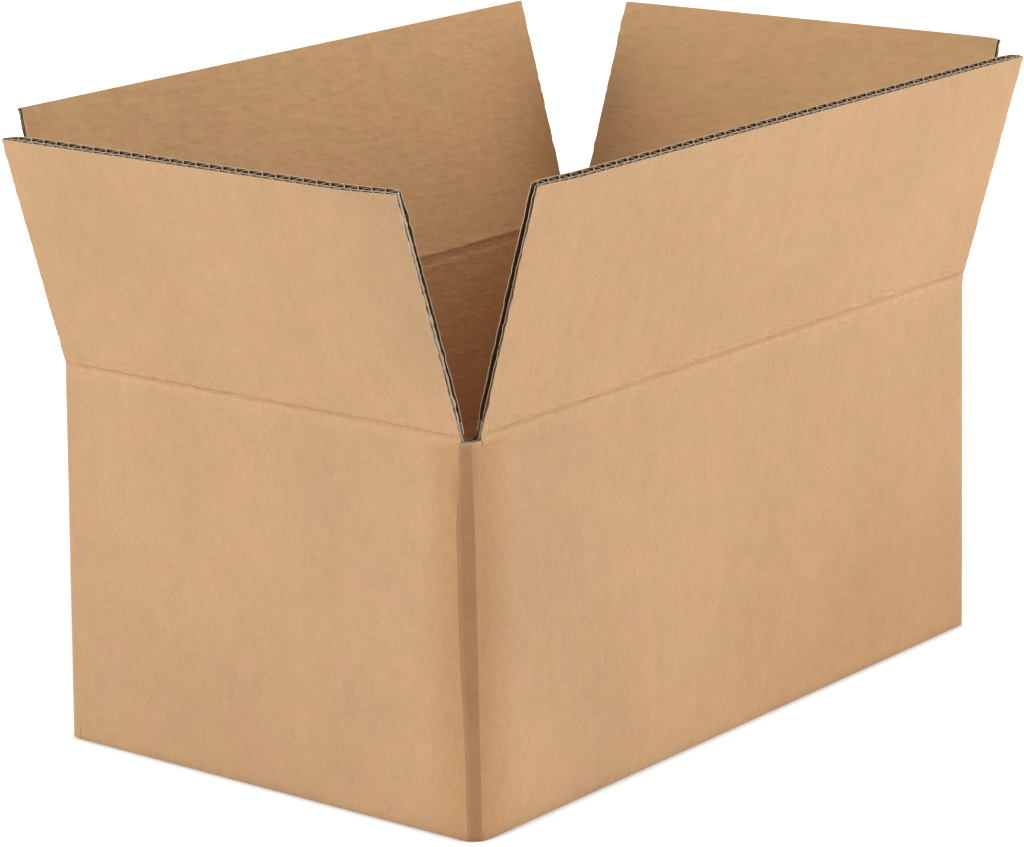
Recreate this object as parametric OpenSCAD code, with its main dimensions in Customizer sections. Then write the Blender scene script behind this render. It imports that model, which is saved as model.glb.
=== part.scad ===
// Regular slotted carton in double-wall corrugated board, standing open.
// One blank makes it: four walls, a glued joint at one corner, four flaps
// folded shut underneath and four flaps that stand up around the mouth.
// The origin is on the floor under the middle of the box, +Z is up and
// +X runs along the length.

/* [Box] */
// Outside length of the four walls
box_l = 380; // [260:1:520]
// Outside width of the four walls
box_w = 244; // [170:1:340]
// Height of the fold that the long flaps hang on
box_h = 180; // [120:1:320]
// Slit left between the two long flaps under the box
seam_gap = 4; // [1:0.5:12]
// Outside radius of the upright folds
corner_r = 6.5; // [3:0.5:10]
// Outside radius of the folds along the floor
base_fold_r = 3; // [1:0.5:5]

/* [Board] */
// Thickness of each of the three flat liners
liner_t = 0.5; // [0.3:0.05:0.7]
// Thickness of the two wavy sheets between the liners
medium_t = 0.4; // [0.25:0.05:0.5]
// Clear height of the coarse flutes, on the inside of the box
coarse_h = 3.1; // [2.4:0.1:4]
// Clear height of the fine flutes, on the outside of the box
fine_h = 2.2; // [1.6:0.1:2.8]
// Length of one coarse wave
coarse_pitch = 7.75; // [6.5:0.05:9]
// Length of one fine wave
fine_pitch = 6.3; // [5.2:0.05:7.5]

/* [Slots] */
// Depth of the slots below the fold of the long flaps
slot_depth = 2.4; // [0:0.1:4]
// Distance from the box's end to the front flap's end
front_inset = 5.2; // [4:0.1:12]
// Distance from the box's end to the back flap's end
back_inset = 10.5; // [4:0.1:16]
// How deep the flutes are torn open along a slot-cut edge
torn_depth = 2.5; // [1:0.1:4]

/* [Rest pose] */
// Outward lean of the front flap, in degrees
front_angle = 17; // [0:0.5:40]
// Outward lean of the back flap, in degrees
back_angle = 14.5; // [0:0.5:40]
// Outward lean of the left flap, in degrees
left_angle = 18.5; // [0:0.5:40]
// Outward lean of the right flap, in degrees
right_angle = 21; // [0:0.5:40]

/* [Glued joint] */
// Width of the tab glued inside the back wall
tab_w = 35; // [20:1:60]
// Thickness of the tab after it is pressed flat
tab_t = 4; // [2:0.1:6]
// Slope cut off each end of the tab
tab_slope = 10; // [4:1:20]
// Room between the tab and the folds above and below it
tab_gap = 3; // [1:0.5:10]
// How far the back wall's cut end stops short of the right wall's face
joint_set_back = 1; // [0.5:0.1:2]

/* [Hidden] */

kraft = [0.80, 0.64, 0.46];
// Room left between board faces that meet but aren't glued
clear = 0.3;
board_t = 3 * liner_t + coarse_h + fine_h;
// The short flaps fold one board lower, so that they lie under the long ones
short_fold_z = box_h - board_t - clear;
// From a fold's middle to the flap's free edge, on the flat blank
long_flap = (box_w - board_t - seam_gap) / 2;
short_flap = long_flap + box_h - short_fold_z;
// A folded flap reaches half a board past its fold
base_reach = long_flap + board_t / 2;
// The short flaps close between the long walls
short_inset = board_t + clear;
// The board beside each fold is pressed, and has no open flutes up to here
pressed_w = 3;
pressed_band = board_t + pressed_w;
// Solid strip between the torn edge and the first whole flute
edge_strip = 1;
inner_corner_r = 1;
// Part of a wave that lies flat against a liner at each crest
crest_share = 0.1;
// Narrowest end of a flute channel
least_tip = 0.1;
// Glued faces overlap by this much, so that they are one solid
joined = 0.5;
// Shapes that cut reach this far past the face that they cut
past = 1;
arc_steps = 5;
big = 2 * max(box_l, box_w, box_h);

// Points of an arc about (x, y) from angle a to angle b
function arc(x, y, r, a, b) =
    [for (i = [0:arc_steps]) [x + r * cos(a + (b - a) * i / arc_steps),
                              y + r * sin(a + (b - a) * i / arc_steps)]];

// Wall outline seen from above, with the glued joint at its back right corner
module wall_outline() {
    hx = box_l / 2;
    hy = box_w / 2;
    r = corner_r;
    panel_end = hx - joint_set_back;
    tab_fold_r = base_fold_r;
    tab_fold_end = acos(1 - joint_set_back / tab_fold_r);
    polygon(concat(
        arc(-hx + r, -hy + r, r, 180, 270),
        arc(hx - r, -hy + r, r, 270, 360),
        arc(hx - tab_fold_r, hy - board_t - tab_fold_r, tab_fold_r, 0, tab_fold_end),
        [[panel_end, hy]],
        arc(-hx + r, hy - r, r, 90, 180)));
}

module inner_outline() {
    hx = box_l / 2 - board_t;
    hy = box_w / 2 - board_t;
    r = inner_corner_r;
    polygon(concat(
        arc(-hx + r, -hy + r, r, 180, 270),
        arc(hx - r, -hy + r, r, 270, 360),
        arc(hx - r, hy - r, r, 0, 90),
        arc(-hx + r, hy - r, r, 90, 180)));
}

// Upright section of the given width whose lower corners are folded round
module floor_profile(width) {
    r = base_fold_r;
    polygon(concat(
        arc(-width / 2 + r, r, r, 180, 270),
        arc(width / 2 - r, r, r, 270, 360),
        [[width / 2, box_h], [-width / 2, box_h]]));
}

module walls() {
    intersection() {
        difference() {
            linear_extrude(box_h) wall_outline();
            translate([0, 0, -past]) linear_extrude(box_h + 2 * past) inner_outline();
        }
        rotate([90, 0, 0]) linear_extrude(big, center = true) floor_profile(box_l);
        rotate([90, 0, 90]) linear_extrude(big, center = true) floor_profile(box_w);
    }
}

// Takes the board away above a fold, with a bevel that lets the flap close
module fold_cut(turn, to_wall, fold_z, width) {
    rotate([0, 0, turn]) translate([0, -to_wall, fold_z])
        rotate([90, 0, 90]) linear_extrude(width, center = true)
            polygon([[-past, 0], [0, 0], [board_t + past, -board_t - past],
                     [board_t + past, big], [-past, big]]);
}

// Lowers the four corners to the floor of the slots
module slot_cuts() {
    for (end = [-1, 1], side = [[-1, front_inset], [1, back_inset]])
        translate([end * box_l / 2, side[0] * box_w / 2, box_h - slot_depth])
            linear_extrude(big) square([2 * side[1], box_w], center = true);
}

module base_flaps() {
    long_w = box_l - 2 * (board_t + clear);
    short_w = box_w - 2 * (board_t + clear);
    for (turn = [0, 180])
        rotate([0, 0, turn])
            translate([-long_w / 2, -box_w / 2 + board_t / 2, 0])
                cube([long_w, base_reach - board_t / 2, board_t]);
    for (turn = [90, -90])
        rotate([0, 0, turn])
            translate([-short_w / 2, -box_l / 2 + board_t / 2, board_t + clear])
                cube([short_w, base_reach - board_t / 2, board_t]);
}

module glue_tab() {
    low = 2 * (board_t + clear) + tab_gap;
    high = short_fold_z - board_t - tab_gap;
    wall_face = box_w / 2 - board_t;
    translate([box_l / 2 - board_t / 2, wall_face + joined, 0])
        rotate([90, 0, 0]) linear_extrude(tab_t + joined)
            polygon([[0, low], [0, high], [-tab_w, high - tab_slope], [-tab_w, low + tab_slope]]);
}

module carton_body() {
    color(kraft) {
        difference() {
            walls();
            fold_cut(0, box_w / 2, box_h, box_l - 2 * front_inset);
            fold_cut(180, box_w / 2, box_h, box_l - 2 * back_inset);
            fold_cut(90, box_l / 2, short_fold_z, box_w - 2 * board_t);
            fold_cut(-90, box_l / 2, short_fold_z, box_w - 2 * board_t);
            slot_cuts();
        }
        base_flaps();
        glue_tab();
    }
}

// One row of flute channels between two liners. They narrow towards the
// liner that the wavy sheet touches, first one way and then the other.
module flute_row(width, pitch, h) {
    crest = crest_share * pitch;
    run = pitch / 2 - 2 * crest;
    slant = medium_t * sqrt(1 + pow(run / (h - medium_t), 2)) / 2;
    wide = pitch / 2 - crest - slant;
    narrow = crest + run * medium_t / (2 * (h - medium_t));
    tip = max(narrow - slant, least_tip);
    half_waves = floor((width - pitch) / (pitch / 2));
    for (i = [0:half_waves])
        translate([(i - half_waves / 2) * pitch / 2, 0])
            if (i % 2 == 0)
                polygon([[-wide, 0], [wide, 0], [tip, h - medium_t], [-tip, h - medium_t]]);
            else
                polygon([[-tip, medium_t], [tip, medium_t], [wide, h], [-wide, h]]);
}

// Section across the flutes: outer liner, fine flutes, middle liner, coarse
// flutes, inner liner. The slot-cut edges stand open between the liners.
module board_section(width) {
    fine_y = liner_t;
    coarse_y = fine_y + fine_h + liner_t;
    fluted_w = width - 2 * (torn_depth + edge_strip);
    difference() {
        translate([-width / 2, 0]) square([width, board_t]);
        translate([0, fine_y]) flute_row(fluted_w, fine_pitch, fine_h);
        translate([0, coarse_y]) flute_row(fluted_w, coarse_pitch, coarse_h);
        for (side = [-1, 1])
            translate([side * width / 2 - torn_depth, 0]) {
                translate([0, fine_y]) square([2 * torn_depth, fine_h]);
                translate([0, coarse_y]) square([2 * torn_depth, coarse_h]);
            }
    }
}

// A flap standing on its fold line, which is the X axis. Its outer face is
// at y = 0 and its free edge, where the flutes are open, is on top.
module flap(width, reach) {
    rotate([90, 0, 90]) linear_extrude(width, center = true)
        polygon([[0, clear], [board_t, clear + board_t], [board_t, pressed_band], [0, pressed_band]]);
    translate([0, 0, pressed_band])
        linear_extrude(reach - pressed_band) board_section(width);
}

// Puts a flap on a wall: turned to face its side and leaning outward
module on_wall(turn, to_wall, fold_z, lean) {
    rotate([0, 0, turn]) translate([0, -to_wall, fold_z]) rotate([lean, 0, 0]) children();
}

module front_flap() {
    color(kraft) on_wall(0, box_w / 2, box_h, front_angle)
        flap(box_l - 2 * front_inset, long_flap);
}

module back_flap() {
    color(kraft) on_wall(180, box_w / 2, box_h, back_angle)
        flap(box_l - 2 * back_inset, long_flap);
}

module left_flap() {
    color(kraft) on_wall(-90, box_l / 2, short_fold_z, left_angle)
        flap(box_w - 2 * short_inset, short_flap);
}

module right_flap() {
    color(kraft) on_wall(90, box_l / 2, short_fold_z, right_angle)
        flap(box_w - 2 * short_inset, short_flap);
}

carton_body();
front_flap();
back_flap();
left_flap();
right_flap();
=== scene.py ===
# %% [markdown]
# # An open carton of double-wall board
#
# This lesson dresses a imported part: an empty carton whose four top flaps stand up and lean outward. The
# CAD part gives the places and sizes, and here its five nodes get their paper: flutes with real thickness,
# crushed folds, torn edges and the colour of kraft board.

import bmesh
import bpy
import math
from mathutils import Matrix, Vector


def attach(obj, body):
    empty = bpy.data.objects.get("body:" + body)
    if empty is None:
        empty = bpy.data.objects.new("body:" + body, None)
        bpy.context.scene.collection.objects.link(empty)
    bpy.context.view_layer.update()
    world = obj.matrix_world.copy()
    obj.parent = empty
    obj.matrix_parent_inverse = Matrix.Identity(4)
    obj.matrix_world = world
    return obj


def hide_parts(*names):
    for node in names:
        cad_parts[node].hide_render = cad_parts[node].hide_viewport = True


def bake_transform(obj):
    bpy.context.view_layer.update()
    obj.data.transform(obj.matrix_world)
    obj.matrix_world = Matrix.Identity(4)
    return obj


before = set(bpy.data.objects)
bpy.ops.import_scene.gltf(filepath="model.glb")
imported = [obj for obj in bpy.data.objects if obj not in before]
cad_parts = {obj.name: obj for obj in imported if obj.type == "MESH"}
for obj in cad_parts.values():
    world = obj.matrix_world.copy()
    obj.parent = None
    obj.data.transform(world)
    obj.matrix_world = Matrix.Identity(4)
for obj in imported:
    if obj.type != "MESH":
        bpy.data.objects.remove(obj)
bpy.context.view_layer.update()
print("CAD nodes:", sorted(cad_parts))

# %% [markdown]
# ## Sizes
#
# All lengths are in metres. The board has two rows of flutes between three flat sheets, which are called
# liners. The fine row lies on the outside of the box and the coarse row on the inside.

# %% Sizes of the box and its board
LENGTH = 0.380
WIDTH = 0.244
HALF_L = LENGTH / 2
HALF_W = WIDTH / 2
# From the middle of one wall to the middle of the next, along the blank
WALL_STEP = (LENGTH + WIDTH) / 2
FOLD_Z = 0.180
SHORT_FOLD_Z = 0.1729
SLOT_Z = 0.1776
SLOT_FLOOR = FOLD_Z - SLOT_Z
FLAP = 0.1166
SHORT_FOOT = 0.0139
LINER = 0.0005
FINE = 0.0014
COARSE = 0.0029
PAPER = 0.0004
FINE_PITCH = 0.0063
COARSE_PITCH = 0.00775
BOARD = 3 * LINER + FINE + COARSE
# Two places closer than this count as one
CLOSE = 0.0001
print(f"board thickness {BOARD * 1000:.1f} mm")

# %% [markdown]
# Each top flap is described once: how it is turned to its side, how far its wall is from the middle, its
# lean in degrees, and where its wall's middle lies along the flat blank, which lets the paper's grain run
# on from a wall into its flap. Foot is how far the crushed strip reaches below the fold, and pinch is the
# share of the board's thickness that the slot knives left at its two ends.
#
# No carton is cut quite square. The ends of each flap are given in the slot, at the fold and at the free
# edge, and drops are how far the free edge's two ends lie below their true height. Lifts turn its corners
# back up.

# %% The four top flaps
FLAPS = {
    "front": dict(
        turn=0, to_wall=HALF_W, lean=17.2, along=0.0, foot=BOARD,
        width=0.3710, pinch=(0.70, 0.35), drops=(0.0013, 0.0012), lifts=(0.0010, 0.0),
        wall_ends=(-0.1809, 0.1899), fold_ends=(-0.1809, 0.1903), top_ends=(-0.1816, 0.1890),
    ),
    "back": dict(
        turn=180, to_wall=HALF_W, lean=14.2, along=-2 * WALL_STEP, foot=BOARD,
        width=0.3620, pinch=(0.75, 0.42), drops=(0.0006, -0.0002), lifts=(0.0, 0.0),
        wall_ends=(-0.1821, 0.1801), fold_ends=(-0.1821, 0.1799), top_ends=(-0.1806, 0.1798),
    ),
    "left": dict(
        turn=-90, to_wall=HALF_L, lean=17.7, along=-WALL_STEP, foot=SHORT_FOOT,
        width=0.2335, pinch=(0.30, 0.76), drops=(0.0013, 0.0020), lifts=(0.0, 0.0014),
        wall_ends=(-0.1172, 0.1165), fold_ends=(-0.1177, 0.1172), top_ends=(-0.1150, 0.1158),
    ),
    "right": dict(
        turn=90, to_wall=HALF_L, lean=21.5, along=WALL_STEP, foot=SHORT_FOOT,
        width=0.2300, pinch=(0.55, 0.75), drops=(0.0004, 0.0013), lifts=(0.0, 0.0),
        wall_ends=(-0.1151, 0.1152), fold_ends=(-0.1151, 0.1152), top_ends=(-0.1151, 0.1141),
    ),
}
print("flaps:", ", ".join(FLAPS))

# %% [markdown]
# ## Small helpers
#
# Blender's mesh tools act on what is selected, so each step first clears the selection and then picks
# vertices, edges or faces by their place.


# %% Helpers that select
def make_active(piece):
    """Selects this piece alone."""
    bpy.ops.object.select_all(action="DESELECT")
    piece.select_set(True)
    bpy.context.view_layer.objects.active = piece


def open_mesh(piece, part="VERT"):
    """Starts edit mode with nothing selected."""
    make_active(piece)
    bpy.ops.object.mode_set(mode="EDIT")
    bpy.ops.mesh.select_mode(type=part)
    bpy.ops.mesh.select_all(action="DESELECT")


def close_mesh():
    bpy.ops.object.mode_set(mode="OBJECT")


def pick_vertices(piece, test):
    """Selects the vertices whose place passes the test, and nothing else."""
    bpy.ops.mesh.select_all(action="DESELECT")
    mesh = bmesh.from_edit_mesh(piece.data)
    for vertex in mesh.verts:
        vertex.select_set(bool(test(vertex.co)))
    mesh.select_flush_mode()
    bmesh.update_edit_mesh(piece.data)


def pick_edges(piece, test):
    """Selects the edges whose two ends pass the test together."""
    bpy.ops.mesh.select_all(action="DESELECT")
    mesh = bmesh.from_edit_mesh(piece.data)
    for edge in mesh.edges:
        if test(edge.verts[0].co, edge.verts[1].co):
            edge.select_set(True)
    bmesh.update_edit_mesh(piece.data)


def pick_faces(piece, test):
    """Selects the faces whose middle passes the test."""
    bpy.ops.mesh.select_all(action="DESELECT")
    mesh = bmesh.from_edit_mesh(piece.data)
    for face in mesh.faces:
        if test(face.calc_center_median()):
            face.select_set(True)
    bmesh.update_edit_mesh(piece.data)


# %% Helpers that finish a piece
def apply_place(piece):
    """Puts the piece's place and turn into its mesh."""
    make_active(piece)
    bpy.ops.object.transform_apply(location=True, rotation=True, scale=True)


def apply_all_modifiers(piece):
    make_active(piece)
    for modifier in list(piece.modifiers):
        bpy.ops.object.modifier_apply(modifier=modifier.name)


def thicken(piece, thickness, offset=-1):
    """Gives a sheet its thickness: inward at offset -1, to both sides at 0."""
    solid = piece.modifiers.new("thickness", "SOLIDIFY")
    solid.thickness = thickness
    solid.offset = offset
    apply_all_modifiers(piece)


def join_pieces(name, pieces):
    """Makes one object of several."""
    make_active(pieces[0])
    for piece in pieces:
        piece.select_set(True)
    bpy.ops.object.join()
    joined = bpy.context.view_layer.objects.active
    joined.name = name
    joined.data.name = name
    return joined


def add_block(name, low, high):
    """A cuboid between two corners, with its place in its mesh."""
    low, high = Vector(low), Vector(high)
    bpy.ops.mesh.primitive_cube_add(size=1, location=(low + high) / 2)
    block = bpy.context.view_layer.objects.active
    block.name = name
    block.scale = high - low
    apply_place(block)
    return block


def add_sheet(name, columns, rows, size, place, turn=0.0):
    """A flat grid that is stood up across the X axis, with its place in its mesh."""
    bpy.ops.mesh.primitive_grid_add(x_subdivisions=columns, y_subdivisions=rows, size=1)
    sheet = bpy.context.view_layer.objects.active
    sheet.name = name
    sheet.scale = (*size, 1)
    sheet.rotation_euler = (math.pi / 2, 0, turn)
    sheet.location = place
    apply_place(sheet)
    return sheet


# %% Helpers that work on an open mesh
def cut_across(place, normal, **settings):
    """Cuts all of the open mesh with a plane."""
    bpy.ops.mesh.select_all(action="SELECT")
    bpy.ops.mesh.bisect(plane_co=place, plane_no=normal, **settings)


def crumple(amount, seed):
    """Moves each picked vertex a little, in its own direction."""
    bpy.ops.transform.vertex_random(offset=amount, uniform=0.0, normal=0.0, seed=seed)


# %% [markdown]
# ## The board's own coordinates
#
# The fibres of the paper run along the flutes, so the pattern must follow the sheet and not the room.
# Every vertex keeps its place on the flat blank in an attribute: how far along the blank, how deep in the
# board, and how high above the fold. The materials read that attribute.


# %% Helpers for the sheet attribute
def write_sheet_places(piece, places):
    """Stores one vector per vertex: along the blank, depth, and height above the top fold."""
    layer = piece.data.attributes.new("sheet", "FLOAT_VECTOR", "POINT")
    flat = [number for place in places for number in place]
    layer.data.foreach_set("vector", flat)


def sheet_from_local(piece, along):
    """For a flap or fold that still lies in its own frame, with its fold on the X axis."""
    write_sheet_places(piece, [(v.co.x + along, v.co.y, v.co.z) for v in piece.data.vertices])


def stand_on_wall(piece, flap, lean, height=FOLD_Z, flip=0):
    """Turns a piece from its own frame to its side of the box."""
    piece.matrix_world = (
        Matrix.Rotation(math.radians(flap["turn"]), 4, "Z")
        @ Matrix.Translation((0, -flap["to_wall"], height))
        @ Matrix.Rotation(math.radians(lean), 4, "X")
        @ Matrix.Rotation(math.radians(flip), 4, "Y")
    )
    apply_place(piece)


# %% [markdown]
# ## Materials
#
# Kraft paper is never one colour. Fine fibres run along the flutes, the pulp clouds lie a few millimetres
# apart, and single fibres show as light and dark flecks. Each of those is one noise texture, stretched to
# its own scale, and each only moves the brightness by a few percent. The same noises drive a shallow bump.


# %% Node helpers
def add_node(tree, kind, **settings):
    node = tree.nodes.new(kind)
    for key, value in settings.items():
        setattr(node, key, value)
    return node


def scaled_noise(tree, source, scale, detail, roughness):
    """A noise over the sheet's coordinates. scale holds cells per metre on each axis."""
    mapping = add_node(tree, "ShaderNodeMapping")
    mapping.inputs["Scale"].default_value = scale
    noise = add_node(tree, "ShaderNodeTexNoise")
    for name, number in (("Scale", 1.0), ("Detail", detail), ("Roughness", roughness)):
        noise.inputs[name].default_value = number
    tree.links.new(source, mapping.inputs["Vector"])
    tree.links.new(mapping.outputs["Vector"], noise.inputs["Vector"])
    return noise.outputs["Fac"]


def remap(tree, value, low, high, to_low, to_high, smooth=False):
    """Stretches a range of values to another, clamped at its ends."""
    node = add_node(tree, "ShaderNodeMapRange", clamp=True)
    node.interpolation_type = "SMOOTHSTEP" if smooth else "LINEAR"
    for name, number in zip(("From Min", "From Max", "To Min", "To Max"), (low, high, to_low, to_high)):
        node.inputs[name].default_value = number
    tree.links.new(value, node.inputs["Value"])
    return node.outputs["Result"]


def combine(tree, operation, first, second):
    """One math node. second is a socket or a number."""
    node = add_node(tree, "ShaderNodeMath", operation=operation)
    tree.links.new(first, node.inputs[0])
    if isinstance(second, (int, float)):
        node.inputs[1].default_value = second
    else:
        tree.links.new(second, node.inputs[1])
    return node.outputs[0]


def times(tree, first, second):
    return combine(tree, "MULTIPLY", first, second)


def start_material(name, roughness, specular):
    """A new material with a plain shader, and the socket that gives the sheet's coordinates."""
    material = bpy.data.materials.new(name)
    material.use_nodes = True
    tree = material.node_tree
    shader = tree.nodes["Principled BSDF"]
    shader.inputs["Roughness"].default_value = roughness
    shader.inputs["Specular IOR Level"].default_value = specular
    sheet = add_node(tree, "ShaderNodeAttribute", attribute_name="sheet")
    return material, tree, shader, sheet.outputs["Vector"]


def tint(tree, shader, colour, brightness):
    """Multiplies a colour, or a socket that gives one, by a brightness that varies over the sheet."""
    node = add_node(tree, "ShaderNodeVectorMath", operation="SCALE")
    if isinstance(colour, tuple):
        node.inputs[0].default_value = colour
    else:
        tree.links.new(colour, node.inputs[0])
    tree.links.new(brightness, node.inputs["Scale"])
    tree.links.new(node.outputs["Vector"], shader.inputs["Base Color"])


def add_bump(tree, shader, height, distance):
    bump = add_node(tree, "ShaderNodeBump")
    bump.inputs["Distance"].default_value = distance
    tree.links.new(height, bump.inputs["Height"])
    tree.links.new(bump.outputs["Normal"], shader.inputs["Normal"])


# %% [markdown]
# Some parts of the sheet are darker or redder than any noise gives: painted shade round the near corner
# and low on the front wall, and a darker near end of the left flap. Each is a mask that comes and goes
# along the blank and with the height.

# %% Masks for the painted shade and the darker flap end
# Where each mask comes and goes along the blank. The first two are counted from the near corner.
# Painted shade round the near upright fold: a darker band beside it and a darker facet on it
CORNER_SHADE_SPAN = ((-0.030, -0.006), (0.008, 0.032))
FACET = ((-0.0048, -0.0042), (-0.0004, 0.0002))
# Painted shade low on the front wall, where less light falls
LOW_SHADE_SPAN = ((-0.08, 0.17), (0.19, 0.25))
# The left flap is darker towards its near end
FLAP_END_SPAN = ((-0.262, -0.205), (-0.1955, -0.1945))
UNDER_SLOT = (-0.005, -0.0015)
LOW_SHADE_HEIGHT = (-0.17, -0.02)
FLAP_END_HEIGHT = (0.0, 0.050)


def fade_in(tree, value, span, smooth=False):
    return remap(tree, value, *span, 0.0, 1.0, smooth=smooth)


def fade_out(tree, value, span, smooth=False):
    return remap(tree, value, *span, 1.0, 0.0, smooth=smooth)


def round_near_corner(tree, split, span, smooth=False):
    """Masks painted shade round the near corner: 0 on the open wall, 1 at the crushed upright fold. The
    flaps stay at 0.
    """
    round_corner = combine(tree, "SUBTRACT", split.outputs["X"], -HALF_L)
    short_side = fade_in(tree, round_corner, span[0], smooth)
    long_side = fade_out(tree, round_corner, span[1], smooth)
    below = fade_out(tree, split.outputs["Z"], UNDER_SLOT)
    return times(tree, times(tree, short_side, long_side), below)


def low_wall_painted_shade(tree, split):
    """Painted shade: the low right part of the front wall is redder and darker, where less light falls."""
    across = fade_in(tree, split.outputs["X"], LOW_SHADE_SPAN[0], smooth=True)
    past_corner = fade_out(tree, split.outputs["X"], LOW_SHADE_SPAN[1], smooth=True)
    low = fade_out(tree, split.outputs["Z"], LOW_SHADE_HEIGHT)
    return times(tree, times(tree, across, past_corner), low)


def darker_flap_end(tree, split):
    """The near end of the left flap is a shade darker than the rest of it."""
    near_end = fade_in(tree, split.outputs["X"], FLAP_END_SPAN[0], smooth=True)
    on_flap = fade_out(tree, split.outputs["X"], FLAP_END_SPAN[1])
    high = fade_in(tree, split.outputs["Z"], FLAP_END_HEIGHT, smooth=True)
    return times(tree, times(tree, near_end, on_flap), high)


# %% [markdown]
# The two liners are one recipe with different numbers. The outer one is plain and smooth. The inner one
# shows ripples, because it dried over the coarse flutes, and its top crease is deeper, with darker painted
# shade.

# %% The kraft liner
# Cells per metre along the blank, through the board and upward, then the noise's detail and roughness
PATTERNS = {
    "streaks": ((700, 300, 110), 1.0, 0.5),
    "fine": ((480, 300, 330), 4.0, 0.7),
    "cloud": ((95, 60, 65), 4.0, 0.6),
    "broad": ((12, 6, 9), 1.0, 0.5),
    "hue": ((48, 40, 34), 2.0, 0.6),
    "mark": ((800, 500, 260), 1.0, 0.5),
    "wrinkle": ((105, 60, 280), 1.0, 0.5),
}
# Nearly all of a noise lies in this range
MOST = (0.3, 0.7)
STREAK_RANGE = (0.25, 0.75)
HUE_RANGE = (0.35, 0.65)
STREAK_SHARE = 0.25
# Painted light and shade on the ripples: how far their noise moves the brightness, beside their bump
RIPPLE_SHADE_SHARE = 0.010
# Ranges of noise or of height above the fold, and the brightness at their two ends
DARK_FLECKS = (0.26, 0.34, 0.90, 1.0)
PALE_FLECKS = (0.66, 0.75, 1.0, 1.08)
# Painted highlight: where a lighter band under the outer fold rises and ends, and how much lighter it is
UNDER_FOLD = ((-0.0085, -0.0040), (-0.0012, -0.0004))
UNDER_FOLD_HIGHLIGHT = 1.05
FLAP_END_LIGHT = 0.90
FACET_SHADE = 0.90
LOW_SHADE_SHARE = 0.6
# The inside gets painted shade, a deeper colour, below this range
INNER_SHADE_HEIGHT = (-0.0034, 0.0012)
# The painted shade of a fold's dark line wavers by this much, fades over this much below it, and ends in
# this range above
CREASE_WAVER = 0.0005
CREASE_FADE = 0.0006
CREASE_TOP = (0.0004, 0.0012)
# The flaps get painted light, a lighter tone than the walls, from within this distance of their fold
FLAP_LIGHT_REACH = 0.0004
KRAFT_RELIEF = 0.00022
FINE_RELIEF = 0.6
CLOUD_RELIEF = 0.9


def mix_colours(tree, factor, first, second):
    """Goes from the first colour to the second. Either is a colour or a socket."""
    node = add_node(tree, "ShaderNodeMix", data_type="RGBA")
    tree.links.new(factor, node.inputs["Factor"])
    for socket, colour in ((node.inputs[6], first), (node.inputs[7], second)):
        if isinstance(colour, tuple):
            socket.default_value = (*colour, 1)
        else:
            tree.links.new(colour, socket)
    return node.outputs[2]


def shade(tree, brightness, value, *numbers):
    """Multiplies the brightness by a value that is stretched to another range."""
    return times(tree, brightness, remap(tree, value, *numbers))


def paper_brightness(tree, noise, grain, clouds, wrinkles):
    """What streaks, fibres, clouds and flecks do to the paper."""
    spread = STREAK_SHARE * grain
    brightness = remap(tree, noise["streaks"], *STREAK_RANGE, 1 - spread, 1 + spread)
    spreads = {"fine": grain, "cloud": clouds, "broad": clouds, "wrinkle": RIPPLE_SHADE_SHARE * wrinkles}
    for pattern, spread in spreads.items():
        brightness = shade(tree, brightness, noise[pattern], *MOST, 1 - spread, 1 + spread)
    brightness = shade(tree, brightness, noise["mark"], *DARK_FLECKS)
    return shade(tree, brightness, noise["mark"], *PALE_FLECKS)


def painted_crease_shade(tree, noise, height, crease, crease_low):
    """Painted shade for the dark line of a top fold, whose edges waver a little."""
    waver = remap(tree, noise["cloud"], *MOST, -CREASE_WAVER, CREASE_WAVER)
    near_fold = combine(tree, "ADD", height, waver)
    below = remap(tree, near_fold, crease_low - CREASE_FADE, crease_low, 1.0, crease)
    above = remap(tree, near_fold, *CREASE_TOP, crease, 1.0)
    return combine(tree, "MAXIMUM", below, above)


def liner_relief(tree, split, noise, waves, wrinkles):
    """Height for the bump: fibres, clouds, ripples and the faint waves of the coarse flutes."""
    flute = times(tree, split.outputs["X"], 2 * math.pi / COARSE_PITCH)
    flute = times(tree, combine(tree, "SINE", flute, 0.0), waves)
    fibres = times(tree, noise["fine"], FINE_RELIEF)
    relief = combine(tree, "ADD", fibres, times(tree, noise["cloud"], CLOUD_RELIEF))
    relief = combine(tree, "ADD", relief, times(tree, noise["wrinkle"], wrinkles))
    return combine(tree, "ADD", relief, flute)


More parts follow.
